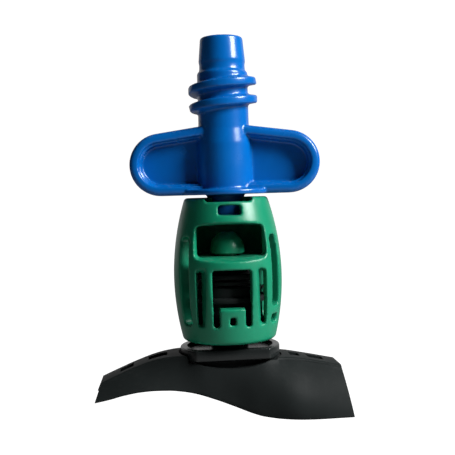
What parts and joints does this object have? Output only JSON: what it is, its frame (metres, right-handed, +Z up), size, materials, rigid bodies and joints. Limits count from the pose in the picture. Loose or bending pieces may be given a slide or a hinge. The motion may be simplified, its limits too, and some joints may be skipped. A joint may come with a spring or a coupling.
{
  "type": "hanging rotating micro-sprinkler",
  "caption": "Hanging micro-sprinkler: winged self-tapping nozzle, slotted barrel cage and a drooping two-wing rotor that spins under it.",
  "frame": {"origin": "centre of the threaded spigot's end face, on the axis of the thread, the cage and the rotor", "axes": "+Z up along the spigot, out of its end; +X to the right along the nozzle's wings; -Y to the front, where the cage's open window is"},
  "size_m": [0.0381, 0.0166, 0.0561],
  "materials": {
    "blue_plastic": "moulded, semi-gloss",
    "green_plastic": "moulded, semi-gloss",
    "black_plastic": "moulded, semi-gloss",
    "ivory_plastic": "moulded, satin"
  },
  "bodies": {
    "nozzle": {"wing_nozzle": "blue_plastic", "jet_insert": "ivory_plastic"},
    "cage": {"cage": "green_plastic", "jet_guide": "green_plastic", "bearing_bush": "black_plastic"},
    "bearing_float": {"thrust_washer": "black_plastic"},
    "rotor": {"rotor_stem": "black_plastic", "stem_collar": "black_plastic", "rotor_hub": "black_plastic", "rotor_deflector": "black_plastic", "jet_ramp": "black_plastic"}
  },
  "joints": [
    {"name": "cage_twist", "type": "hinge", "parent": "nozzle", "child": "cage", "pos_m": [0, 0, -0.0261], "axis": [0, 0, 1], "range_deg": [0, 90]},
    {"name": "rotor_lift", "type": "slide", "parent": "cage", "child": "bearing_float", "axis": [0, 0, 1], "range_m": [0, 0.0005]},
    {"name": "rotor_spin", "type": "hinge", "parent": "bearing_float", "child": "rotor", "pos_m": [0, 0, -0.0365], "axis": [0, 0, 1], "continuous": true}
  ]
}
